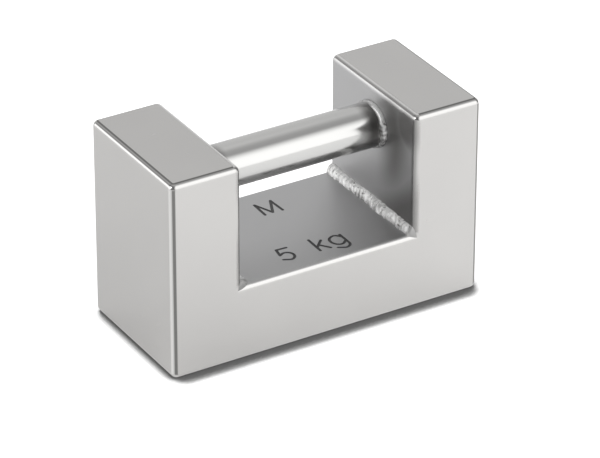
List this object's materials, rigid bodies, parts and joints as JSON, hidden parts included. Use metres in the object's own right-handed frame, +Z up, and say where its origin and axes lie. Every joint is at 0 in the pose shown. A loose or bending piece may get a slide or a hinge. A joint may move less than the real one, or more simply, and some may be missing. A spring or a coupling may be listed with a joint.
{
  "type": "calibration weight",
  "caption": "Rectangular steel block weight with two raised ends, a round grip handle between them and a sealed adjusting cavity.",
  "frame": {"origin": "middle of the footprint, in the resting face", "axes": "+X along the length to the end block with the adjusting opening, -Y the front, +Z up"},
  "size_m": [0.15, 0.068, 0.092],
  "materials": {
    "ground_steel": "fine ground stainless steel",
    "drawn_tube": "drawn and lightly polished stainless tube",
    "weld_metal": "rough weld bead, rippled and brushed clean",
    "plug_brass": "turned brass",
    "soft_seal": "dull hammered soft metal",
    "rod_steel": "plain steel rod"
  },
  "bodies": {
    "root": {"base_block": "ground_steel", "left_end_block": "ground_steel", "right_end_block": "ground_steel", "handle_tube": "drawn_tube", "left_groove_weld": "ground_steel", "right_groove_weld": "ground_steel", "left_corner_weld": "weld_metal", "right_corner_weld": "weld_metal", "left_handle_weld": "weld_metal", "right_handle_weld": "weld_metal", "adjusting_plug": "plug_brass", "seal": "soft_seal", "adjusting_rods": "rod_steel"}
  },
  "joints": []
}
